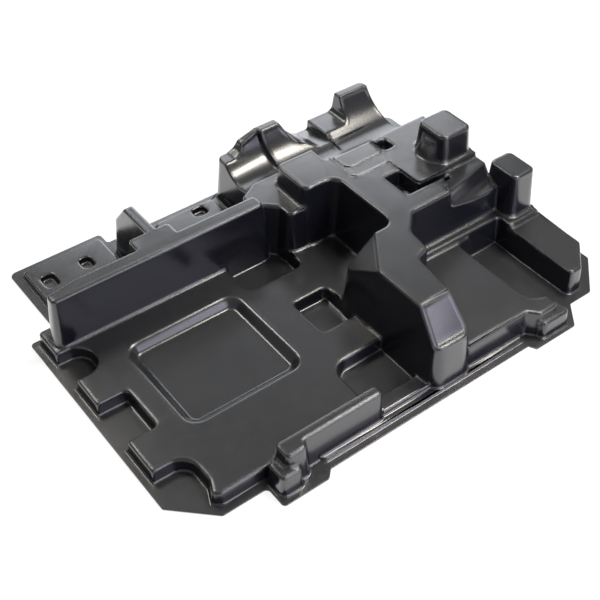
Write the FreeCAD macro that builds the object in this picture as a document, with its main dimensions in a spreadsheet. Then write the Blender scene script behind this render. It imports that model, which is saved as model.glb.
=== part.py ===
import FreeCAD, Part
import math
import os
import re
import Sketcher

# Vacuum-formed packing tray: one sheet of plastic drawn into a flanged base,
# a low floor with recesses, a tall spine with shoulders, a cross wall and a
# back saddle, all open underneath. Millimetres. x runs along the long front
# edge, y towards the back and z up. Plan positions are measured from the left
# end of the flange and from its main front edge, heights from the flange top.

SIZES = {
    # the sheet and its draft
    "sheet": 1.2,
    "draft": 5,
    "bevel_round": 3,
    "soft_round": 5,
    "wide_round": 7,
    "bay_round": 9,
    "nook_round": 12,
    # flange outline
    "flange_right": 381,
    "flange_back": 274,
    "flange_step_right": 98,
    "flange_step_left": 20.8,
    "flange_step_back": 286.5,
    "flange_left_back": 212,
    "flange_cut_side": 38,
    "flange_cut_left": 27,
    "flange_cut_right": 354.3,
    "flange_front_set": 11.7,
    "left_lip_left": 60.5,
    "left_lip_right": 96,
    "lip_front": -5.6,
    "right_lip_left": 281,
    "right_lip_right": 319,
    "right_set_left": 333,
    "front_step_top": 1.8,
    "front_step_left": 101,
    "front_step_right": 279,
    "front_step_front": 6,
    "front_wall": 12,
    # main floor
    "floor_top": 10,
    "floor_left": 6.6,
    "floor_front": 19.3,
    "floor_cut_side": 41,
    "floor_cut_front": 31,
    "floor_right": 212,
    # recesses of the main floor, sizes at their bottoms
    "nook_right": 27.2,
    "nook_front": 155.2,
    "nook_back": 182,
    "notch_right": 28.2,
    "notch_front": 89.5,
    "notch_back": 126,
    "corner_nook_right": 31,
    "corner_nook_back": 57.3,
    "corner_nook_front": 33,
    "corner_nook_left": 25,
    "corner_nook_foot": 20,
    "panel_floor": 4,
    "panel_left": 51.5,
    "panel_right": 132.5,
    "panel_front": 80,
    "panel_back": 154,
    "panel_slope": 45,
    "well_left": 149,
    "well_right": 195.5,
    "well_front": 155.5,
    "well_back": 193,
    "square_left": 166.5,
    "square_right": 194.3,
    "square_front": 91,
    "square_back": 124.5,
    "dee_left": 149.5,
    "dee_back": 60,
    # sill, front bar and left ledges
    "sill_top": 5,
    "sill_left": 148,
    "bar_top": 26,
    "bar_left": 72.4,
    "bar_right": 153,
    "bar_back": 20.2,
    "bar_wide_front": 6.5,
    "bar_wide_right": 87,
    "bar_jog": 89,
    "ledge_top": 16,
    "ledge_left": 64.6,
    "ledge_right": 80,
    "ledge_front": 0.8,
    "ledge_back": 17,
    "toe_right": 30,
    "toe_back": 209.5,
    # cross wall, its buttress rib and the shoulder beside it
    "wall_top": 50.5,
    "wall_left": 13.6,
    "wall_right": 186.4,
    "wall_front": 188.5,
    "wall_back": 201,
    "wall_thin_back": 198,
    "wall_jog": 28,
    "wall_jog_reach": 9,
    "plinth_left": 86.5,
    "plinth_right": 119.5,
    "plinth_back": 213.5,
    "rib_left": 101,
    "rib_right": 109,
    "rib_back": 258.5,
    "rib_slope_start": 244,
    "rib_slope_end": 260,
    "rib_slope_low": 31,
    "shoulder_top": 44,
    "shoulder_right": 198.5,
    "shoulder_front": 172.5,
    "shoulder_reach": 9,
    "shoulder_turn": 194.5,
    "shoulder_left": 182.4,
    "shoulder_bend": 210.5,
    "shoulder_back": 220,
    # strips behind the cross wall
    "strip_top": 4.5,
    "strip_one_left": 28.5,
    "strip_one_right": 93.5,
    "strip_one_back": 278.4,
    "strip_two_left": 136,
    "strip_two_right": 190,
    "strip_two_back": 266.5,
    "slot_one_left": 36,
    "slot_one_right": 45.5,
    "slot_one_front": 251.5,
    "slot_one_back": 264.5,
    "slot_two_left": 68,
    "slot_two_right": 76.5,
    "slot_two_front": 254,
    "slot_three_left": 168,
    "slot_three_right": 178.5,
    "slot_three_back": 262.5,
    # spine with its leg, and the bay it bends around
    "spine_top": 61,
    "spine_left": 213,
    "spine_right": 345,
    "spine_back": 209.5,
    "spine_front": 107.3,
    "bay_wall": 240,
    "bay_front": 106.3,
    "leg_left": 199,
    "leg_front_right": 226,
    "leg_ramp_right": 225,
    "leg_notch_right": 229,
    "leg_notch": 68.3,
    "leg_waist_right": 241,
    "leg_waist": 71.5,
    "leg_neck_right": 243.8,
    "leg_neck": 92,
    "leg_neck_end": 258.7,
    "ramp_start": 32,
    "ramp_end": 13.6,
    "ramp_low": 37,
    "facet_middle_x": 210.9,
    "facet_middle_y": 89.3,
    "facet_turn": 144.7,
    "facet_slope": 46.8,
    "facet_width": 58,
    # groove and dimple in the spine's top, sizes at their bottoms
    "groove_floor": 47,
    "groove_draft": 3,
    "groove_left": 269,
    "groove_arm_right": 312,
    "groove_arm_back": 127.9,
    "groove_leg_right": 282.2,
    "groove_front": 124.7,
    "groove_back": 148.8,
    "groove_round": 1.1,
    "dimple_floor": 51,
    "dimple_left": 292.5,
    "dimple_right": 300,
    "dimple_front": 177,
    "dimple_back": 187,
    "lower_top": 59.8,
    "lower_left": 250.5,
    "lower_front": 163,
    "lower_notch_x": 284.5,
    "lower_notch_y": 130,
    "lowest_top": 58.7,
    "lowest_left": 254.3,
    "lowest_right": 290,
    "lowest_front": 176,
    # scooped shelf between the spine and the right post
    "shelf_top": 56,
    "shelf_left": 301,
    "shelf_back": 132,
    "scoop_x": 295.5,
    "scoop_y": 111.7,
    "scoop_turn": 12.8,
    "scoop_length": 65,
    "scoop_knee": 6.5,
    "scoop_knee_z": 46.5,
    "scoop_foot": 11,
    "scoop_foot_z": 43.2,
    # posts
    "post_top": 82,
    "post_left": 314,
    "post_right": 342,
    "post_front": 137.5,
    "post_back": 167,
    "nose_top": 74,
    "nose_left": 311,
    "nose_front": 143,
    "nose_back": 161,
    "nose_slope": 18,
    "side_post_top": 58,
    "side_post_left": 346.5,
    "side_post_right": 368,
    "side_post_front": 92,
    "side_post_back": 120,
    # right floor, its ledge and trough, and the right block
    "right_floor_top": 20,
    "right_floor_right": 308,
    "nub_start": 285,
    "nub_left": 291,
    "nub_front": 4.6,
    "tongue_top": 13,
    "tongue_right": 316,
    "tongue_front": -0.4,
    "tongue_back": 13.5,
    "shelf_step_top": 23,
    "shelf_step_left": 244,
    "shelf_step_front": 96,
    "shelf_step_low_front": 83,
    "shelf_step_back": 125,
    "trough_left": 297,
    "trough_right": 325,
    "trough_front": 18,
    "trough_back": 92,
    "block_left": 339,
    "block_width": 31,
    "block_front": 20.6,
    "block_back": 92,
    "block_cut": 10.5,
    "block_cut_y": 41,
    # back saddle: a rounded trough along x with a hook at each end
    "saddle_top": 52,
    "saddle_left": 200.5,
    "saddle_front": 204,
    "saddle_back": 269.8,
    "saddle_low": 29,
    "left_cradle_radius": 27,
    "left_cradle_middle": 238,
    "right_cradle_radius": 36,
    "right_cradle_middle": 228.8,
    "right_cradle_low": 30.5,
    "bite_left": 246.5,
    "cradle_margin": 15,
    "left_hook_foot_x": 209,
    "left_hook_foot_z": 38.2,
    "left_hook_knee_x": 215,
    "left_hook_knee_z": 41,
    "left_hook_neck_x": 219,
    "left_hook_neck_z": 46.8,
    "left_hook_peak_x": 236,
    "gap_left": 236,
    "gap_left_low": 263,
    "gap_floor": 35.3,
    "gap_right_low": 314,
    "gap_right": 320,
    "dip_left": 265.5,
    "dip_left_z": 36,
    "dip_bend_x": 272,
    "dip_bend_z": 30,
    "dip_flat": 278,
    "dip_floor": 27,
    "dip_right": 289.3,
    "dip_slope": 9.3,
    "dip_front": 229.5,
}

document = FreeCAD.newDocument("Tray")
sheet = document.addObject("Spreadsheet::Sheet", "Sizes")
for row, (alias, value) in enumerate(SIZES.items(), start=1):
    sheet.set(f"A{row}", alias)
    sheet.set(f"B{row}", str(value))
    sheet.setAlias(f"B{row}", alias)
document.recompute()

UP = FreeCAD.Vector(0, 0, 1)
DOWN = FreeCAD.Vector(0, 0, -1)
X_AXIS = FreeCAD.Vector(1, 0, 0)


def bound(text):
    """The formula with every size name read from the sheet."""
    return re.sub(r"\b([a-z][a-z_]+)\b(?!\()", r"Sizes.\1", text)


def value(text):
    """The formula's present number."""
    return float(sheet.evalExpression(re.sub(r"\b([a-z][a-z_]+)\b(?!\()", r"\1", text)))


def bind(thing, path, text):
    thing.setExpression(path, bound(text))


def outline(name, corners, level="0", turn=None, base=None):
    """Closed outline with one arc per corner, held by its sharp corners.

    corners: (x, y, radius) formulas. Flat at the given level, or upright on
    base with its first axis turned by the given angle about z."""
    sketch = document.addObject("Sketcher::SketchObject", name)
    sharp = [FreeCAD.Vector(value(x), value(y), 0) for x, y, _ in corners]
    radii = [value(radius) for _, _, radius in corners]
    count = len(corners)
    arcs = []
    for index, corner in enumerate(sharp):
        before = (sharp[index - 1] - corner).normalize()
        after = (sharp[(index + 1) % count] - corner).normalize()
        half = before.getAngle(after) / 2
        middle = (before + after).normalize()
        centre = corner + middle * (radii[index] / math.sin(half))
        reach = radii[index] / math.tan(half)
        arcs.append((corner + before * reach, centre - middle * radii[index], corner + after * reach))
    for start, middle, end in arcs:
        sketch.addGeometry(Part.Arc(start, middle, end), False)
    for index in range(count):
        sketch.addGeometry(Part.LineSegment(arcs[index][2], arcs[(index + 1) % count][0]), False)
    for corner in sharp:
        sketch.addGeometry(Part.Point(corner), True)
    for index, (x, y, radius) in enumerate(corners):
        line, line_before = count + index, count + (index - 1) % count
        point = 2 * count + index
        turns_left = (sharp[index] - sharp[index - 1]).cross(sharp[(index + 1) % count] - sharp[index]).z > 0
        first, last = (1, 2) if turns_left else (2, 1)
        sketch.addConstraint([
            Sketcher.Constraint("Tangent", line_before, 2, index, first),
            Sketcher.Constraint("Tangent", index, last, line, 1),
            Sketcher.Constraint("PointOnObject", point, 1, line_before),
            Sketcher.Constraint("PointOnObject", point, 1, line),
        ])
        across = sketch.addConstraint(Sketcher.Constraint("DistanceX", -1, 1, point, 1, sharp[index].x))
        along = sketch.addConstraint(Sketcher.Constraint("DistanceY", -1, 1, point, 1, sharp[index].y))
        rounding = sketch.addConstraint(Sketcher.Constraint("Radius", index, radii[index]))
        bind(sketch, f"Constraints[{across}]", x)
        bind(sketch, f"Constraints[{along}]", y)
        bind(sketch, f"Constraints[{rounding}]", radius)
    if turn is None:
        bind(sketch, "Placement.Base.z", level)
    else:
        upright = FreeCAD.Rotation(X_AXIS, 90)
        sketch.Placement.Rotation = FreeCAD.Rotation(UP, value(turn)) * upright
        bind(sketch, "Placement.Base.x", base[0])
        bind(sketch, "Placement.Base.y", base[1])
    return sketch


def drawn(name, sketch, direction, length, taper="draft", back="0", back_taper="0", drop="0"):
    """The outline drawn along a direction with its sides leaning by the taper."""
    solid = document.addObject("Part::Extrusion", name)
    solid.Base = sketch
    solid.DirMode = "Custom"
    solid.Dir = direction
    solid.Solid = True
    bind(solid, "LengthFwd", length)
    bind(solid, "LengthRev", back)
    bind(solid, "TaperAngle", taper)
    bind(solid, "TaperAngleRev", back_taper)
    bind(solid, "Placement.Base.z", "-(" + drop + ")")
    return solid


# Every wall leans by the same draft, so the inner face of a wall is the outer
# one moved straight down by the height in which the draft makes up one sheet.
SINK = "sheet / tan(draft * 1deg)"
DEPTH = "16"


def raised(name, corners, top, taper="draft", outer_foot="-sheet / 2", inner_foot="-" + DEPTH):
    """A raised form with its outline at its top: the outer and the inner solid."""
    sketch = outline(name + "_outline", corners, top)
    outer = drawn(name, sketch, DOWN, f"{top} - ({outer_foot})", taper)
    sink = SINK.replace("draft", taper)
    inner = drawn(name + "_inside", sketch, DOWN, f"{top} - {sink} - ({inner_foot})", taper,
                  f"{sink} - sheet", f"-{taper}", sink)
    return outer, inner


def through(name, corners, rim):
    """A recess down to the flange, its outline at its bottom: outer and inner cutter."""
    sketch = outline(name + "_outline", corners, "-sheet")
    outer = drawn(name, sketch, UP, f"{rim} + 3 * sheet")
    inner = drawn(name + "_inside", sketch, UP, f"{rim} + {SINK} + 3 * sheet", "draft",
                  DEPTH + " + sheet", "0", SINK)
    return outer, inner


def box(left, right, front, back, rounding="bevel_round"):
    """Corners of a rectangle, anticlockwise from the left front."""
    return [(left, front, rounding), (right, front, rounding), (right, back, rounding), (left, back, rounding)]


def blind(name, corners_for, floor, rim, taper):
    """A recess with a floor of its own; corners_for gives its outline grown by a formula."""
    outer = drawn(name, outline(name + "_outline", corners_for("0"), floor), UP, f"{rim} - {floor} + sheet", taper)
    inner = drawn(name + "_inside", outline(name + "_inside_outline", corners_for("sheet"), f"{floor} - sheet"),
                  UP, f"{rim} - {floor} + 2 * sheet", taper)
    return outer, inner


def grown_box(left, right, front, back, rounding):
    def corners(grow):
        return box(f"{left} - {grow}", f"{right} + {grow}", f"{front} - {grow}", f"{back} + {grow}",
                   f"{rounding} + {grow}")
    return corners


def ridge_cut(name, corners, turn, base, direction, length, back="0", inner_corners=None):
    """A cutter with an upright profile, and one for the inner face.

    The inner one is a sheet longer at both ends, and a sheet lower unless it
    has a profile of its own."""
    sketch = outline(name + "_outline", corners, turn=turn, base=base)
    outer = drawn(name, sketch, direction, length, "0", back)
    if inner_corners:
        sketch = outline(name + "_inside_outline", inner_corners, turn=turn, base=base)
    inner = drawn(name + "_inside", sketch, direction, f"{length} + sheet", "0", f"{back} + sheet", "0",
                  "0" if inner_corners else "sheet")
    return outer, inner


def cradle(name, radius, middle, low, left, length):
    """A cylindrical cutter lying along x, and one a sheet lower and a sheet longer at both ends."""
    pair = []
    for ending, grow in (("", "0"), ("_inside", "sheet")):
        drum = document.addObject("Part::Cylinder", name + ending)
        bind(drum, "Radius", radius)
        bind(drum, "Height", f"{length} + 2 * {grow}")
        drum.Placement.Rotation = FreeCAD.Rotation(FreeCAD.Vector(0, 1, 0), 90)
        bind(drum, "Placement.Base.x", f"{left} - {grow}")
        bind(drum, "Placement.Base.y", middle)
        bind(drum, "Placement.Base.z", f"{low} + {radius} - {grow}")
        pair.append(drum)
    return tuple(pair)


def joined(name, members):
    union = document.addObject("Part::MultiFuse", name)
    union.Shapes = members
    return union


def cut(name, base, tool):
    result = document.addObject("Part::Cut", name)
    result.Base = base
    result.Tool = tool
    return result


# Low floors, drawn before their recesses are cut.
floors = [
    raised("floor", [
        ("floor_left", "floor_cut_side", "wide_round"),
        ("floor_cut_front", "floor_front", "wide_round"),
        ("floor_right", "floor_front", "bevel_round"),
        ("floor_right", "bay_front - wide_round", "wide_round"),
        ("bay_wall + soft_round", "bay_front - wide_round", "bevel_round"),
        ("bay_wall + soft_round", "wall_front + soft_round", "bevel_round"),
        ("toe_right", "wall_front + soft_round", "bevel_round"),
        ("toe_right", "toe_back", "bevel_round"),
        ("floor_left", "toe_back", "bevel_round"),
    ], "floor_top"),
    raised("right_floor", [
        ("floor_right", "front_wall", "bevel_round"),
        ("nub_start", "front_wall", "bevel_round"),
        ("nub_left", "nub_front", "bevel_round"),
        ("right_floor_right", "nub_front", "bevel_round"),
        ("right_floor_right", "shelf_step_front + wide_round", "bevel_round"),
        ("floor_right", "shelf_step_front + wide_round", "bevel_round"),
    ], "right_floor_top"),
    raised("strip_one", box("strip_one_left", "strip_one_right", "wall_front + soft_round", "strip_one_back"),
           "strip_top"),
    raised("strip_two", box("strip_two_left", "strip_two_right", "wall_front + soft_round", "strip_two_back"),
           "strip_top"),
]

recesses = [
    through("nook", [
        ("-nook_right", "nook_front", "bevel_round"),
        ("nook_right", "nook_front", "nook_round"),
        ("nook_right", "nook_back", "nook_round"),
        ("-nook_right", "nook_back", "bevel_round"),
    ], "floor_top"),
    through("notch", box("-notch_right", "notch_right", "notch_front", "notch_back"), "floor_top"),
    through("corner_nook", [
        ("-corner_nook_right", "corner_nook_foot", "bevel_round"),
        ("corner_nook_left", "corner_nook_foot", "bevel_round"),
        ("corner_nook_right", "corner_nook_front", "bevel_round"),
        ("corner_nook_right", "corner_nook_back", "nook_round"),
        ("-corner_nook_right", "corner_nook_back", "bevel_round"),
    ], "floor_top"),
    through("well", box("well_left", "well_right", "well_front", "well_back", "soft_round"), "floor_top"),
    through("square_recess", box("square_left", "square_right", "square_front", "square_back"), "floor_top"),
    through("dee_recess", [
        ("dee_left", "front_wall", "nook_round"),
        ("leg_left + soft_round", "front_wall", "bevel_round"),
        ("leg_left + soft_round", "dee_back", "bevel_round"),
        ("dee_left", "dee_back", "nook_round"),
    ], "floor_top"),
    through("trough", [
        ("trough_left", "trough_front", "nook_round"),
        ("trough_right", "trough_front", "bevel_round"),
        ("trough_right", "trough_back", "bevel_round"),
        ("trough_left", "trough_back", "bevel_round"),
    ], "right_floor_top"),
    through("slot_one", box("slot_one_left", "slot_one_right", "slot_one_front", "slot_one_back"), "strip_top"),
    through("slot_two", box("slot_two_left", "slot_two_right", "slot_two_front", "slot_one_back"), "strip_top"),
    through("slot_three", box("slot_three_left", "slot_three_right", "slot_two_front", "slot_three_back"),
            "strip_top"),
    blind("panel", grown_box("panel_left", "panel_right", "panel_front", "panel_back", "soft_round"),
          "panel_floor", "floor_top", "panel_slope"),
]

# The step's sides are in line with those of the lower block beside it.
STEP_LEAN = "(shelf_step_top - right_floor_top) * tan(draft * 1deg)"

# Tall forms that stand on the floors.
towers = [
    raised("front_step", box("front_step_left", "front_step_right", "front_step_front", "floor_front + soft_round"),
           "front_step_top"),
    raised("sill", box("sill_left", "leg_left + soft_round", "front_wall", "floor_front + soft_round"), "sill_top"),
    raised("bar", [
        ("bar_left", "bar_wide_front", "bevel_round"),
        ("bar_wide_right", "bar_wide_front", "bevel_round"),
        ("bar_jog", "front_wall", "bevel_round"),
        ("bar_right", "front_wall", "bevel_round"),
        ("bar_right", "bar_back", "bevel_round"),
        ("bar_left", "bar_back", "bevel_round"),
    ], "bar_top"),
    raised("ledge", box("ledge_left", "ledge_right", "ledge_front", "ledge_back"), "ledge_top"),
    raised("wall", [
        ("wall_left", "wall_front", "bevel_round"),
        ("wall_right", "wall_front", "bevel_round"),
        ("wall_right", "wall_back", "bevel_round"),
        ("wall_jog + wall_jog_reach", "wall_back", "wide_round"),
        ("wall_jog - wall_jog_reach", "wall_thin_back", "wide_round"),
        ("wall_left", "wall_thin_back", "bevel_round"),
    ], "wall_top"),
    raised("plinth", box("plinth_left", "plinth_right", "wall_front + soft_round", "plinth_back"), "wall_top"),
    raised("shoulder", [
        ("shoulder_right", "shoulder_front", "soft_round"),
        ("spine_left + nook_round", "shoulder_front", "bevel_round"),
        ("spine_left + nook_round", "shoulder_back", "bevel_round"),
        ("shoulder_right", "shoulder_back", "soft_round"),
        ("shoulder_left", "shoulder_bend", "soft_round"),
        ("shoulder_left", "shoulder_turn", "bevel_round"),
        ("shoulder_right - shoulder_reach", "shoulder_turn", "wide_round"),
        ("shoulder_right", "shoulder_turn - shoulder_reach", "wide_round"),
    ], "shoulder_top"),
    raised("shelf_step", [
        ("shelf_step_left", "shelf_step_front", "bevel_round"),
        ("block_left + " + STEP_LEAN, "shelf_step_front", "bevel_round"),
        ("block_left + " + STEP_LEAN, "shelf_step_low_front", "bevel_round"),
        ("block_left + block_width - " + STEP_LEAN, "shelf_step_low_front", "bevel_round"),
        ("block_left + block_width - " + STEP_LEAN, "shelf_step_back", "bevel_round"),
        ("shelf_step_left", "shelf_step_back", "bevel_round"),
    ], "shelf_step_top"),
    raised("tongue", box("nub_left", "tongue_right", "tongue_front", "tongue_back"), "tongue_top"),
    raised("block", [
        ("block_left", "block_front", "bevel_round"),
        ("block_left + block_cut", "block_front", "bevel_round"),
        ("block_left + block_width", "block_cut_y", "soft_round"),
        ("block_left + block_width", "block_back", "bevel_round"),
        ("block_left", "block_back", "bevel_round"),
    ], "right_floor_top"),
    raised("spine", [
        ("leg_left", "front_wall", "soft_round"),
        ("leg_front_right", "front_wall", "soft_round"),
        ("leg_ramp_right", "ramp_start", "nook_round"),
        ("leg_notch_right", "leg_notch", "wide_round"),
        ("leg_waist_right", "leg_waist", "bevel_round"),
        ("leg_neck_right", "leg_neck", "wide_round"),
        ("leg_neck_end", "spine_front", "wide_round"),
        ("spine_right", "spine_front", "soft_round"),
        ("spine_right", "spine_back", "soft_round"),
        ("spine_left", "spine_back", "soft_round"),
        ("spine_left", "shoulder_front", "soft_round"),
        ("bay_wall", "shoulder_front", "bay_round"),
        ("bay_wall", "bay_front", "bay_round"),
        ("leg_left", "bay_front", "soft_round"),
    ], "spine_top"),
    raised("saddle", box("saddle_left", "spine_right", "saddle_front", "saddle_back", "soft_round"), "saddle_top"),
]

rib = raised("rib", box("rib_left", "rib_right", "wall_front + soft_round", "rib_back"), "wall_top")

ABOVE = "spine_top + 4 * wide_round"

# The rib's back end falls away along a slope.
rib_slope = ridge_cut("rib_slope", [
    ("rib_slope_start", "wall_top + sheet", "sheet"),
    ("rib_slope_end", "rib_slope_low", "sheet"),
    ("flange_step_back", "rib_slope_low", "sheet"),
    ("flange_step_back", "wall_top + sheet", "sheet"),
], "90", ("plinth_left", "0"), X_AXIS, "plinth_right - plinth_left")

# Ramp down the front of the leg, and the facet at its back corner.
ramp = ridge_cut("ramp", [
    ("ramp_start", "spine_top", "nook_round"),
    ("ramp_end", "ramp_low", "sheet"),
    ("ramp_end - ramp_start", "ramp_low", "sheet"),
    ("ramp_end - ramp_start", ABOVE, "sheet"),
    ("ramp_start + (" + ABOVE + " - spine_top) / 4", ABOVE, "sheet"),
], "90", ("leg_left - wide_round", "0"), X_AXIS, "leg_waist_right - leg_left")
facet = ridge_cut("facet", [
    ("-wide_round / tan(facet_slope * 1deg)", "spine_top + wide_round", "sheet"),
    ("spine_top / tan(facet_slope * 1deg)", "0", "sheet"),
    ("spine_top / tan(facet_slope * 1deg)", "spine_top + wide_round", "sheet"),
], "facet_turn", ("facet_middle_x", "facet_middle_y"),
    FreeCAD.Vector(math.sin(math.radians(value("facet_turn"))), -math.cos(math.radians(value("facet_turn"))), 0),
    "facet_width / 2", "facet_width / 2")

# Shelf and scoop beside the post.
def shelf_corners(grow):
    """The shelf's outline, open towards the front and the right."""
    clear = "2 * nook_round"
    return [
        (f"shelf_left - {grow}", f"spine_front - {clear}", "bevel_round"),
        (f"spine_right + {clear}", f"spine_front - {clear}", "bevel_round"),
        (f"spine_right + {clear}", f"shelf_back + {grow}", "bevel_round"),
        (f"shelf_left + nook_round - {grow} / 2", f"shelf_back + {grow}", "soft_round"),
        (f"shelf_left - {grow}", f"shelf_back - nook_round + {grow} / 2", "soft_round"),
    ]


shelf = blind("shelf", shelf_corners, "shelf_top", "spine_top", "draft")

SCOOP_TURN = math.radians(value("scoop_turn"))
scoop = ridge_cut("scoop", [
    ("-bevel_round", "shelf_top + 2 * bevel_round", "sheet"),
    ("scoop_knee", "scoop_knee_z", "wide_round"),
    ("scoop_foot", "scoop_foot_z", "soft_round"),
    ("3 * nook_round", "scoop_foot_z - sheet", "sheet"),
    ("3 * nook_round", ABOVE, "sheet"),
    ("-bevel_round", ABOVE, "sheet"),
], "scoop_turn - 90", ("scoop_x", "scoop_y"),
    FreeCAD.Vector(math.cos(SCOOP_TURN), math.sin(SCOOP_TURN), 0), "scoop_length")


# Groove and dimple in the spine's top.
def groove_corners(grow):
    """An L outline grown by a formula."""
    rounding = f"groove_round + {grow}"
    return [
        (f"groove_left - {grow}", f"groove_front - {grow}", rounding),
        (f"groove_arm_right + {grow}", f"groove_front - {grow}", rounding),
        (f"groove_arm_right + {grow}", f"groove_arm_back + {grow}", rounding),
        (f"groove_leg_right + {grow}", f"groove_arm_back + {grow}", "bevel_round"),
        (f"groove_leg_right + {grow}", f"groove_back + {grow}", rounding),
        (f"groove_left - {grow}", f"groove_back + {grow}", rounding),
    ]


groove = blind("groove", groove_corners, "groove_floor", "spine_top", "groove_draft")
dimple = blind("dimple", grown_box("dimple_left", "dimple_right", "dimple_front", "dimple_back", "sheet"),
               "dimple_floor", "spine_top", "draft")


# Two shallow steps down towards the back of the spine's top.
def lower_corners(grow):
    """The first step's outline, open towards the back and the right."""
    clear = "2 * nook_round"
    return [
        (f"lower_notch_x - {grow}", f"lower_notch_y - {grow}", "bevel_round"),
        (f"spine_right + {clear}", f"lower_notch_y - {grow}", "bevel_round"),
        (f"spine_right + {clear}", f"spine_back + {clear}", "bevel_round"),
        (f"lower_left - {grow}", f"spine_back + {clear}", "bevel_round"),
        (f"lower_left - {grow}", f"lower_front - {grow}", "soft_round"),
        (f"lower_notch_x - {grow}", f"lower_front - {grow}", "bevel_round"),
    ]


lower = blind("lower", lower_corners, "lower_top", "spine_top", "draft")
lowest = blind("lowest", grown_box("lowest_left", "lowest_right", "lowest_front", "spine_back + 2 * nook_round",
                                   "soft_round"), "lowest_top", "spine_top", "draft")

# The saddle's rounded trough, which also bites into the spine's back, and the profile of its back edge.
FORWARD = FreeCAD.Vector(0, -1, 0)


def gap_corners(grow):
    """The low stretch of the back edge between the two hooks, grown by a formula."""
    return [
        (f"gap_left - {grow}", ABOVE, "sheet"),
        (f"gap_left_low - {grow}", f"gap_floor - {grow}", "wide_round"),
        (f"gap_right_low + {grow}", f"gap_floor - {grow}", "soft_round"),
        (f"gap_right + {grow}", ABOVE, "sheet"),
    ]


def dip_corners(grow):
    """The lowest part of that stretch."""
    return [
        (f"dip_left - {grow}", ABOVE, "sheet"),
        (f"dip_left - {grow}", f"dip_left_z - {grow}", "bevel_round"),
        (f"dip_bend_x - {grow}", f"dip_bend_z - {grow}", "soft_round"),
        ("dip_flat", f"dip_floor - {grow}", "soft_round"),
        (f"dip_right + {grow}", f"dip_floor - {grow}", "sheet"),
        (f"dip_right + {grow}", ABOVE, "sheet"),
    ]


# It falls away to the back.
DIP_WAY = FreeCAD.Vector(0, -1, math.tan(math.radians(value("dip_slope"))))

saddle_cuts = [
    cradle("left_cradle", "left_cradle_radius", "left_cradle_middle", "saddle_low",
           "saddle_left - cradle_margin", "left_hook_peak_x - saddle_left + cradle_margin"),
    cradle("right_cradle", "right_cradle_radius", "right_cradle_middle", "right_cradle_low",
           "left_hook_peak_x", "spine_right - left_hook_peak_x + cradle_margin"),
    ridge_cut("left_hook", [
        ("saddle_left - cradle_margin", "left_hook_foot_z", "sheet"),
        ("left_hook_foot_x", "left_hook_foot_z", "soft_round"),
        ("left_hook_knee_x", "left_hook_knee_z", "soft_round"),
        ("left_hook_neck_x", "left_hook_neck_z", "sheet"),
        ("left_hook_peak_x", "saddle_top", "soft_round"),
        ("left_hook_peak_x + sheet", ABOVE, "sheet"),
        ("saddle_left - cradle_margin", ABOVE, "sheet"),
    ], "0", ("0", "saddle_back + cradle_margin"), FORWARD, "saddle_back - saddle_front + 2 * cradle_margin"),
    ridge_cut("gap", gap_corners("0"), "0", ("0", "saddle_back + cradle_margin"), FORWARD,
              "saddle_back - dip_front + cradle_margin", "0", gap_corners("sheet")),
    ridge_cut("dip", dip_corners("0"), "0", ("0", "saddle_back"), DIP_WAY,
              "saddle_back - dip_front", "cradle_margin", dip_corners("sheet")),
]

bite = cradle("bite", "right_cradle_radius", "right_cradle_middle", "right_cradle_low",
              "bite_left", "spine_right - bite_left + cradle_margin")

# Posts, which stand on the finished spine.
posts = [
    raised("post", box("post_left", "post_right", "post_front", "post_back", "soft_round"), "post_top"),
    raised("nose", box("nose_left", "post_left + 2 * wide_round", "nose_front", "nose_back", "wide_round"),
           "nose_top", "nose_slope", "spine_top - 2 * sheet", "spine_top - 4 * sheet"),
    raised("side_post", box("side_post_left", "side_post_right", "side_post_front", "side_post_back", "soft_round"),
           "side_post_top"),
]

# The flange: the whole sheet's outline, one sheet thick.
flange_outline = outline("flange_outline", [
    ("0", "flange_cut_side", "bevel_round"),
    ("flange_cut_left", "flange_front_set", "bevel_round"),
    ("left_lip_left", "flange_front_set", "bevel_round"),
    ("left_lip_left", "lip_front", "bevel_round"),
    ("left_lip_right", "lip_front", "bevel_round"),
    ("left_lip_right - lip_front", "0", "bevel_round"),
    ("right_lip_left + lip_front / 2", "0", "sheet"),
    ("right_lip_left", "lip_front", "sheet"),
    ("right_lip_right", "lip_front", "bevel_round"),
    ("right_set_left", "flange_front_set", "bevel_round"),
    ("flange_cut_right", "flange_front_set", "bevel_round"),
    ("flange_right", "flange_cut_side", "bevel_round"),
    ("flange_right", "flange_back", "wide_round"),
    ("flange_step_right", "flange_back", "bevel_round"),
    ("flange_step_right", "flange_step_back", "bevel_round"),
    ("flange_step_left", "flange_step_back", "soft_round"),
    ("flange_step_left", "flange_left_back", "bevel_round"),
    ("0", "flange_left_back", "bevel_round"),
])
flange = drawn("flange", flange_outline, DOWN, "sheet", "0")


SPINE_CUTS = (ramp, facet, shelf, scoop, groove, lower, lowest, dimple, bite)


def form(side):
    """The whole outer (0) or inner (1) form of the sheet."""
    ending = ("outer", "inner")[side]
    low = cut(f"{ending}_floors", joined(f"{ending}_plain_floors", [pair[side] for pair in floors]),
              joined(f"{ending}_recesses", [pair[side] for pair in recesses]))
    by_name = {pair[side].Name: pair[side] for pair in towers}
    spine_key = ("spine", "spine_inside")[side]
    saddle_key = ("saddle", "saddle_inside")[side]
    spine = cut(f"{ending}_spine", by_name.pop(spine_key),
                joined(f"{ending}_spine_cuts", [pair[side] for pair in SPINE_CUTS]))
    saddle = cut(f"{ending}_saddle", by_name.pop(saddle_key),
                 joined(f"{ending}_saddle_cuts", [pair[side] for pair in saddle_cuts]))
    buttress = cut(f"{ending}_rib", rib[side], rib_slope[side])
    tall = [pair[side] for pair in posts] + list(by_name.values())
    return joined(f"{ending}_form", [low, spine, saddle, buttress] + tall)


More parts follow.
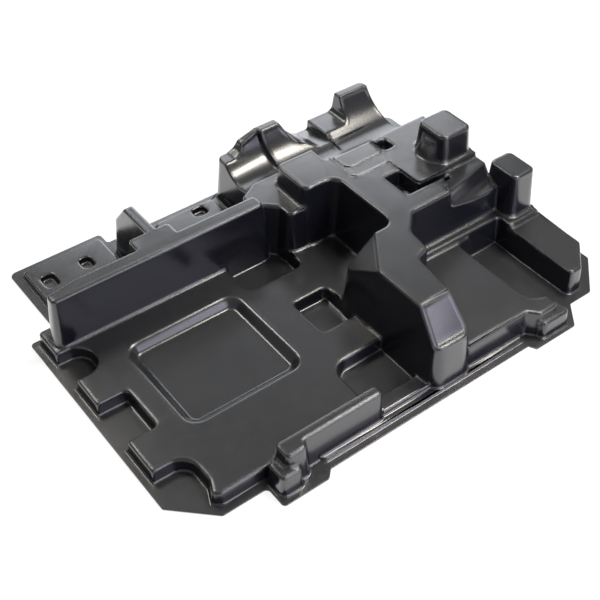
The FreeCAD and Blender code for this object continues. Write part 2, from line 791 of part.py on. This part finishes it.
outer_form = form(0)
inner_form = form(1)
solid_form = joined("solid_form", [flange, outer_form])
tray = cut("tray", solid_form, inner_form)
tray.Label = "tray"
tray.Refine = True
bind(tray, "Placement.Base.x", "-flange_right / 2")
bind(tray, "Placement.Base.y", "-(flange_step_back + lip_front) / 2")
bind(tray, "Placement.Base.z", "sheet")
document.recompute()

for thing in document.Objects:
    if {"Invalid", "Error"} & set(thing.State):
        raise RuntimeError(f"{thing.Name} did not rebuild: {thing.State}")
if tray.Shape.isNull() or not tray.Shape.isValid():
    raise RuntimeError("the tray's solid is not valid")
if len(tray.Shape.Solids) != 1:
    raise RuntimeError(f"the tray has {len(tray.Shape.Solids)} solids, not one")

os.makedirs("parts", exist_ok=True)
tray.Shape.exportStep(f"parts/{tray.Label}.step")
box_size = tray.Shape.optimalBoundingBox()
print(f"tray {box_size.XLength:.1f} x {box_size.YLength:.1f} x {box_size.ZLength:.1f} mm, "
      f"{len(tray.Shape.Faces)} faces, {tray.Shape.Volume / 1000:.1f} cubic centimetres")
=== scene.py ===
# %% [markdown]
# # A vacuum-formed packing tray
#
# The real object is one sheet of black plastic, drawn down over a mould while
# it was hot. Nothing is joined to it: the flange, the floors, the walls and the
# hooks are all the same sheet, so the model is one piece as well.
#
# The frame holds the tray's measured shape. This lesson gives it what the eye
# looks for in such a sheet: softly rounded edges, a satin surface that isn't
# quite even, and light that runs along every bend.

# %% Load the frame
import math

import bmesh
import bpy
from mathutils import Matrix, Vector
from mathutils.bvhtree import BVHTree


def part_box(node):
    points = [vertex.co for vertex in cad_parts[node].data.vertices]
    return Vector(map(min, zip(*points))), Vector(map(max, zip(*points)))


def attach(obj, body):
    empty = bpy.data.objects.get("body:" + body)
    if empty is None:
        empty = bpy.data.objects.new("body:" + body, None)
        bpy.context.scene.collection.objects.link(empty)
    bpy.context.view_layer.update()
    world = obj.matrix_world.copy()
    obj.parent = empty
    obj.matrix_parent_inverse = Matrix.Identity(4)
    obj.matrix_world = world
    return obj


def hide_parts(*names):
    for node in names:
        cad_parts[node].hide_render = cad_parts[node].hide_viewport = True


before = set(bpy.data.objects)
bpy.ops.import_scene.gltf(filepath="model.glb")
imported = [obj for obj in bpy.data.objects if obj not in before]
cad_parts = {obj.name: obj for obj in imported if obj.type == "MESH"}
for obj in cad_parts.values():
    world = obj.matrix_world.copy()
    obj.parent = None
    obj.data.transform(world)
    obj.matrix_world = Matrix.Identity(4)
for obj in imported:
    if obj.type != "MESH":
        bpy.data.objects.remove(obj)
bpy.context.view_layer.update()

TRAY_LOW, TRAY_HIGH = (Vector(corner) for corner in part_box("tray"))
TRAY_MIDDLE = (TRAY_LOW + TRAY_HIGH) / 2
MM = 0.001
print("tray", [round(side / MM, 1) for side in TRAY_HIGH - TRAY_LOW], "mm")

# %% [markdown]
# ## Clean the sheet's mesh
#
# The frame's mesh is a crowd of loose triangles, so no edge knows both of its
# faces. Merging the doubled corners joins them. A limited dissolve then turns
# each flat wall back into one face, which leaves only the edges that a finger
# could feel. A second, wider merge takes away the edges under 0.4 mm, which are
# too short to carry a bend. The frame's own mesh is left as it is: the work is
# on a copy.


# %% Merge the triangles and dissolve the flat faces
MERGE = 0.01 * MM
SPECK = 0.4 * MM
FLAT = math.radians(1)


def merged_copy(node, name):
    """A copy of a frame node, with its triangles joined and its flat faces whole."""
    mesh = bpy.data.meshes.new(name)
    piece = bpy.data.objects.new(name, mesh)
    bpy.context.scene.collection.objects.link(piece)
    shape = bmesh.new()
    shape.from_mesh(node.data)
    for distance in (MERGE, SPECK):
        bmesh.ops.remove_doubles(shape, verts=shape.verts, dist=distance)
        bmesh.ops.dissolve_limit(shape, angle_limit=FLAT, verts=shape.verts, edges=shape.edges, delimit=set())
    return piece, shape


tray, shape = merged_copy(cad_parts["tray"], "tray_sheet")
print("clean mesh:", len(shape.verts), "corners,", len(shape.faces), "faces")

# %% [markdown]
# ## Round every bend
#
# A heated sheet can't make a knife edge. Where it is pulled over a corner of
# the mould it keeps a radius a little larger than its own thickness, and it
# can't fill an inside corner either. A bevel with three segments rounds both
# kinds. The flange's rim is cut after forming, so it stays crisp, with only the
# burr of the knife taken off. It is thinner than a bend is wide, too.
#
# Two things keep the bevel tidy on a shape with this many steps. A floor with
# holes is one very long face, so such faces are first cut into convex ones.
# And where two bends have too little room between them, a new corner can slip
# off the sheet; it is found by its distance and put back on the surface.


# %% Bevel the bends
BEND_WIDTH = 1.4 * MM
BEND_ANGLE = math.radians(20)
BEND_SEGMENTS = 3
RIM_WIDTH = 0.3 * MM
RIM_TOP = 1.3 * MM
LONG_FACE = 40


def is_rim(edge):
    """True for an outside edge of the flange plate."""
    return edge.is_convex and all(corner.co.z < RIM_TOP for corner in edge.verts)


def round_edges(shape, width, wanted):
    """Bevels the edges that are sharper than BEND_ANGLE and wanted."""
    sharp = [edge for edge in shape.edges
             if len(edge.link_faces) == 2 and edge.calc_face_angle() > BEND_ANGLE and wanted(edge)]
    ends = list({corner for edge in sharp for corner in edge.verts})
    bmesh.ops.bevel(shape, geom=sharp + ends, affect="EDGES", offset=width, offset_type="OFFSET",
                    segments=BEND_SEGMENTS, profile=0.5, material=-1, clamp_overlap=False, loop_slide=False,
                    miter_outer="SHARP", miter_inner="SHARP")
    return len(sharp)


sheet_surface = BVHTree.FromBMesh(shape)
bmesh.ops.connect_verts_concave(shape, faces=[face for face in shape.faces if len(face.verts) > LONG_FACE])
print("bends:", round_edges(shape, BEND_WIDTH, lambda edge: not is_rim(edge)), "edges")

# %% [markdown]
# The middle of a bend lies a little off the old sharp surface: inside it on an
# outer bend, outside it in an inner corner. That distance, as a share of the
# largest one, is stored in an attribute called bend, so that the material can
# pale the outer bends, as wear and as a painted highlight, and leave dust in
# the inner corners.

# %% Put slipped corners back and mark the bends
LARGEST_GAP = 0.8 * MM
FULL_BEND = 0.3 * MM

bend = shape.verts.layers.float.new("bend")
slipped = 0
for corner in shape.verts:
    nearest, normal, _, gap = sheet_surface.find_nearest(corner.co)
    if gap > LARGEST_GAP:
        corner.co = nearest
        slipped += 1
    else:
        corner[bend] = math.copysign(min(gap / FULL_BEND, 1), (nearest - corner.co).dot(normal))
print("put back", slipped, "corners")

# %% [markdown]
# The rim comes last. A corner that its small bevel pushes below the flange is
# lifted back to the plane on which the tray stands.

# %% Take off the rim's burr and finish the mesh
print("rim:", round_edges(shape, RIM_WIDTH, is_rim), "edges")
for corner in shape.verts:
    corner.co.z = max(corner.co.z, TRAY_LOW.z)
bmesh.ops.triangulate(shape, faces=shape.faces)
for face in shape.faces:
    face.smooth = True
shape.to_mesh(tray.data)
shape.free()
print("finished mesh:", len(tray.data.vertices), "corners,", len(tray.data.polygons), "triangles")

# %% [markdown]
# Smooth shading alone would make the large flat walls look pillowed, because
# each corner's normal is shared with the bend beside it. Weighted normals let
# the largest face at a corner decide, so walls stay flat and only bends curve.

# %% Keep the walls flat and hand the piece to the frame
LARGEST_FACE_DECIDES = 100

flat_walls = tray.modifiers.new("Flat walls", "WEIGHTED_NORMAL")
flat_walls.mode = "FACE_AREA"
flat_walls.weight = LARGEST_FACE_DECIDES
flat_walls.keep_sharp = False

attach(tray, "root")
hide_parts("tray")

# %% [markdown]
# ## Black polystyrene sheet
#
# Trays like this are formed from high-impact polystyrene. Its rubber makes the
# black a little grey, and forming leaves it between satin and glossy: lamps
# show as soft patches with no clear outline. Three things break up that shine:
#
# - the sheet thins where it is drawn deep, so the steep walls are smoother, and
#   their colour is painted darker than the tops', a painted shade by facing;
# - it never lies quite flat, so light wavers slowly along the walls;
# - a fine grain from the rollers, outer bends paler in patches, partly as wear
#   where trays stack and partly as a painted highlight, and a little dull dust in
#   the inner corners.
#
# The helpers come first. One turns a colour that is written as on a paint card
# into the linear numbers that the renderer uses, one adds a node, and the
# others add the three kinds of node that return most often.


# %% Helpers for colours and nodes
BYTE = 255
SRGB_KNEE, SRGB_FOOT, SRGB_SHIFT, SRGB_POWER = 0.04045, 12.92, 0.055, 2.4
COLOUR_A, COLOUR_B, COLOUR_RESULT = 6, 7, 2


def linear(channel):
    """One sRGB channel as a linear number."""
    if channel <= SRGB_KNEE:
        return channel / SRGB_FOOT
    return ((channel + SRGB_SHIFT) / (1 + SRGB_SHIFT)) ** SRGB_POWER


def colour(code):
    """Linear RGBA from an sRGB hex code."""
    return [linear(int(code[start:start + 2], 16) / BYTE) for start in (1, 3, 5)] + [1.0]


def add(tree, kind, inputs=None, **settings):
    """Adds a node, sets its settings, and fills or links its inputs by name or number."""
    node = tree.nodes.new(kind)
    for name, value in settings.items():
        setattr(node, name, value)
    for name, value in (inputs or {}).items():
        if isinstance(value, bpy.types.NodeSocket):
            tree.links.new(value, node.inputs[name])
        else:
            node.inputs[name].default_value = value
    return node


def spread(tree, value, span, result=(0.0, 1.0)):
    """A value whose span is stretched onto the result's, and held inside it."""
    return add(tree, "ShaderNodeMapRange", {"Value": value, "From Min": span[0], "From Max": span[1],
                                            "To Min": result[0], "To Max": result[1]}).outputs["Result"]


def count(tree, operation, *values, **settings):
    """The result of one sum on two or three values."""
    return add(tree, "ShaderNodeMath", dict(enumerate(values)), operation=operation, **settings).outputs["Value"]


def blend(tree, share, first, second):
    """The first colour, with a share of the second."""
    return add(tree, "ShaderNodeMix", {"Factor": share, COLOUR_A: first, COLOUR_B: second},
               data_type="RGBA").outputs[COLOUR_RESULT]


def noise(tree, where, size_mm, detail, roughness=0.5):
    """A noise whose blotches measure about that many millimetres."""
    return add(tree, "ShaderNodeTexNoise", {"Vector": where, "Scale": 1 / (size_mm * MM), "Detail": detail,
                                            "Roughness": roughness}).outputs["Fac"]


# %% [markdown]
# The patterns read Object coordinates, in metres, so each scale follows from a
# real size. The roller grain is really about 0.2 mm and would vanish between
# pixels; it is drawn at 0.7 mm, as coarse as it needs to be to show.
#
# The real bends have a radius of three to five millimetres, more than the mesh
# can take where two of them lie close together. So a soft edge in the shading
# widens the shine along each bend. It fades out towards the flange, whose plate
# is thinner than that radius.

# %% The satin sheet: its measures
# The top colour is painted lighter and the wall colour darker: a painted shade by which way the surface faces.
SHEET_TOP_PAINTED_LIGHTER = colour("#1c1d1f")
SHEET_WALL_PAINTED_DARKER = colour("#121318")
# Pale colour for the outer bends: part wear, part painted highlight.
SHEET_WEAR_AND_HIGHLIGHT = colour("#3c3d40")
DUST = colour("#4b4a46")
POLYSTYRENE_IOR = 1.59

# Sizes of the patterns.
GRAIN_MM, WAVER_MM, CLOUD_MM, SMEAR_MM = 0.7, 38, 55, 9
WAVER_HEIGHT, WAVER_STRENGTH = 0.7 * MM, 0.3
GRAIN_HEIGHT, GRAIN_STRENGTH = 0.02 * MM, 0.6
SOFT_EDGE, SOFT_EDGE_SAMPLES = 3.2 * MM, 8
FLANGE_ZONE = (3 * MM, 9 * MM)

# Spans of a slope or a noise, and what they turn into.
WALL_TO_TOP = (0.25, 0.9)
NOISE_SPAN = (0.3, 0.7)
CLOUD_BRIGHTNESS = (0.88, 1.14)
WEAR_AND_HIGHLIGHT_WHERE, WEAR_AND_HIGHLIGHT_SHARE = (0.42, 0.68), (0.0, 0.2)
DUSTY_WHERE, DUSTY_SHARE = (0.35, 0.7), (0.0, 0.5)
DUST_DULLS = 0.25
WALL_AND_TOP_ROUGHNESS = (0.20, 0.25)
SMEAR_ROUGHNESS = (-0.012, 0.016)


# %% The satin sheet: its nodes
def polystyrene_sheet():
    """Black high-impact polystyrene, satin from forming."""
    material = bpy.data.materials.new("Black high-impact polystyrene, vacuum formed")
    material.use_nodes = True
    tree = material.node_tree
    tree.nodes.clear()
    place = add(tree, "ShaderNodeTexCoord")
    where = place.outputs["Object"]

    # How level the surface is: 1 on tops and floors, 0 on the drawn walls.
    facing = add(tree, "ShaderNodeSeparateXYZ", {0: place.outputs["Normal"]})
    level = spread(tree, facing.outputs["Z"], WALL_TO_TOP)

    cloud = noise(tree, where, CLOUD_MM, detail=3.0)
    smear = noise(tree, where, SMEAR_MM, detail=5.0, roughness=0.6)
    bend = add(tree, "ShaderNodeAttribute", attribute_name="bend").outputs["Fac"]

    # Colour: painted shade on the walls and painted light on the tops, slow clouds, outer bends paled in patches
    # (wear and a painted highlight), and dust.
    # Painted shade and light: walls darker and tops paler, by how far the surface faces up.
    painted_facing_shade = blend(tree, level, SHEET_WALL_PAINTED_DARKER, SHEET_TOP_PAINTED_LIGHTER)
    brightness = spread(tree, cloud, NOISE_SPAN, CLOUD_BRIGHTNESS)
    clouded = add(tree, "ShaderNodeHueSaturation", {"Color": painted_facing_shade, "Value": brightness}).outputs["Color"]
    outer_bend = count(tree, "MAXIMUM", bend, 0.0)
    # Outer bends paled in patches: partly wear, partly a painted highlight.
    wear_and_painted_highlight = count(tree, "MULTIPLY", outer_bend, spread(tree, smear, WEAR_AND_HIGHLIGHT_WHERE, WEAR_AND_HIGHLIGHT_SHARE))
    worn_and_highlighted = blend(tree, wear_and_painted_highlight, clouded, SHEET_WEAR_AND_HIGHLIGHT)
    inner_bend = count(tree, "MULTIPLY", bend, -1.0, use_clamp=True)
    dusty = count(tree, "MULTIPLY", inner_bend, spread(tree, smear, DUSTY_WHERE, DUSTY_SHARE))
    finish = blend(tree, dusty, worn_and_highlighted, DUST)

    # Roughness: satin, a little smoother on drawn walls, uneven in smears.
    satin = spread(tree, level, (0.0, 1.0), WALL_AND_TOP_ROUGHNESS)
    shine = count(tree, "ADD", satin, spread(tree, smear, NOISE_SPAN, SMEAR_ROUGHNESS))
    roughness = count(tree, "MULTIPLY_ADD", dusty, DUST_DULLS, shine)

    # Relief: soft edges, the slow waver of a formed sheet, and the roller grain.
    waver = noise(tree, where, WAVER_MM, detail=1.0)
    grain = noise(tree, where, GRAIN_MM, detail=2.0)
    height = add(tree, "ShaderNodeSeparateXYZ", {0: where}).outputs["Z"]
    radius = spread(tree, height, FLANGE_ZONE, (0.0, SOFT_EDGE))
    soft_edge = add(tree, "ShaderNodeBevel", {"Radius": radius}, samples=SOFT_EDGE_SAMPLES)
    slow = add(tree, "ShaderNodeBump", {"Height": waver, "Distance": WAVER_HEIGHT, "Strength": WAVER_STRENGTH,
                                        "Normal": soft_edge.outputs["Normal"]})
    fine = add(tree, "ShaderNodeBump", {"Height": grain, "Distance": GRAIN_HEIGHT, "Strength": GRAIN_STRENGTH,
                                        "Normal": slow.outputs["Normal"]})

    surface = add(tree, "ShaderNodeBsdfPrincipled", {"Base Color": finish, "Roughness": roughness,
                                                     "IOR": POLYSTYRENE_IOR, "Normal": fine.outputs["Normal"]})
    add(tree, "ShaderNodeOutputMaterial", {"Surface": surface.outputs["BSDF"]})
    return material


tray.data.materials.clear()
tray.data.materials.append(polystyrene_sheet())
print("material:", tray.data.materials[0].name)

# %% [markdown]
# ## The table and the light
#
# The tray lies on a white table in a bright room. The table is only a stage.
# To the camera it is almost pure white, and it still keeps the tray's faint
# shadow, because a part of its own shading is mixed in.
# A photograph on white paper is exposed until the paper burns out, so in the
# tray's shines the table is brighter than white. That lights the front walls.


# %% White table
TABLE_SIDE = 6.0
TABLE_WHITE = colour("#f2f2f2")
BURNT_OUT = colour("#ffffff")
SHADOW_SHARE = 0.25
WHITE_IN_SHINES = 2.2
NO_OR_YES = (0.0, 1.0)


def white_table():
    """A table top that the camera sees as white paper, with a faint shadow."""
    mesh = bpy.data.meshes.new("table")
    table = bpy.data.objects.new("table", mesh)
    bpy.context.scene.collection.objects.link(table)
    top = bmesh.new()
    bmesh.ops.create_grid(top, x_segments=1, y_segments=1, size=TABLE_SIDE / 2)
    bmesh.ops.translate(top, verts=top.verts, vec=(0, 0, TRAY_LOW.z))
    top.to_mesh(mesh)
    top.free()

    material = bpy.data.materials.new("White table")
    material.use_nodes = True
    tree = material.node_tree
    tree.nodes.clear()
    ray = add(tree, "ShaderNodeLightPath").outputs
    paper = add(tree, "ShaderNodeBsdfDiffuse", {"Color": TABLE_WHITE})
    strength = spread(tree, ray["Is Glossy Ray"], NO_OR_YES, (1.0, WHITE_IN_SHINES))
    white = add(tree, "ShaderNodeEmission", {"Color": BURNT_OUT, "Strength": strength})
    seen = count(tree, "MAXIMUM", ray["Is Camera Ray"], ray["Is Glossy Ray"])
    share = count(tree, "MULTIPLY", seen, 1 - SHADOW_SHARE)
    mixed = add(tree, "ShaderNodeMixShader", {0: share, 1: paper.outputs["BSDF"], 2: white.outputs["Emission"]})
    add(tree, "ShaderNodeOutputMaterial", {"Surface": mixed.outputs["Shader"]})
    mesh.materials.append(material)
    return table


table = white_table()

# %% [markdown]
# The room is a pale sky: white where the camera looks at it, and a calm grey
# where it lights the sheet. A large window lamp stands low behind the tray on
# the right. Its shine lies on the level tops, more on the high and far ones,
# and runs as a bright line along each bend. Two boxes above the tray light the
# bends that look up, and a cooler lamp in front keeps the walls that face us
# readable.

# %% Sky and lamps
SKY_LEVEL = 0.36

# Name, place and side in metres, watts, tint.
LAMPS = [
    ("Back window", (0.72, 1.15, 0.54), 0.9, 12, "#f4f8ff"),
    ("Overhead box", (0.52, -0.06, 1.08), 0.35, 15, "#fffaf0"),
    ("Left box", (-0.2, 0.75, 1.05), 0.3, 6, "#fffaf0"),
    ("Front fill", (0.2, -0.85, 0.45), 0.6, 8, "#ecebff"),
]


def pale_sky():
    """World light: white to the camera, grey for everything that it lights."""
    world = bpy.data.worlds.new("Pale room")
    world.use_nodes = True
    tree = world.node_tree
    tree.nodes.clear()
    ray = add(tree, "ShaderNodeLightPath").outputs
    seen = count(tree, "MAXIMUM", ray["Is Camera Ray"], ray["Is Transmission Ray"])
    strength = spread(tree, seen, NO_OR_YES, (SKY_LEVEL, 1.0))
    sky = add(tree, "ShaderNodeBackground", {"Color": BURNT_OUT, "Strength": strength})
    add(tree, "ShaderNodeOutputWorld", {"Surface": sky.outputs["Background"]})
    bpy.context.scene.world = world


def soft_lamp(name, place, side, watts, tint):
    """A square lamp that faces the middle of the tray."""
    lamp = bpy.data.lights.new(name, "AREA")
    lamp.shape = "SQUARE"
    lamp.size = side
    lamp.energy = watts
    lamp.color = colour(tint)[:3]
    stand = bpy.data.objects.new(name, lamp)
    bpy.context.scene.collection.objects.link(stand)
    stand.location = place
    stand.rotation_euler = (TRAY_MIDDLE - stand.location).to_track_quat("-Z", "Y").to_euler()


pale_sky()
for lamp in LAMPS:
    soft_lamp(*lamp)
print("lamps:", ", ".join(lamp[0] for lamp in LAMPS))

# %% [markdown]
# ## The camera
#
# The picture is taken from the front left, well above the table, with a lens a
# little longer than normal, so the tray's edges converge only gently.

# %% Camera
CAMERA_PLACE = (-0.3614, -0.46775, 0.5612)
CAMERA_LOOK = Vector((0.43363, 0.57259, -0.69577))
LENS_MM, SENSOR_MM = 66.05, 36

lens = bpy.data.cameras.new("Camera")
lens.lens = LENS_MM
lens.sensor_width = SENSOR_MM
camera = bpy.data.objects.new("Camera", lens)
bpy.context.scene.collection.objects.link(camera)
camera.location = CAMERA_PLACE
camera.rotation_euler = CAMERA_LOOK.to_track_quat("-Z", "Y").to_euler()
bpy.context.scene.camera = camera
bpy.context.scene.view_settings.view_transform = "Standard"
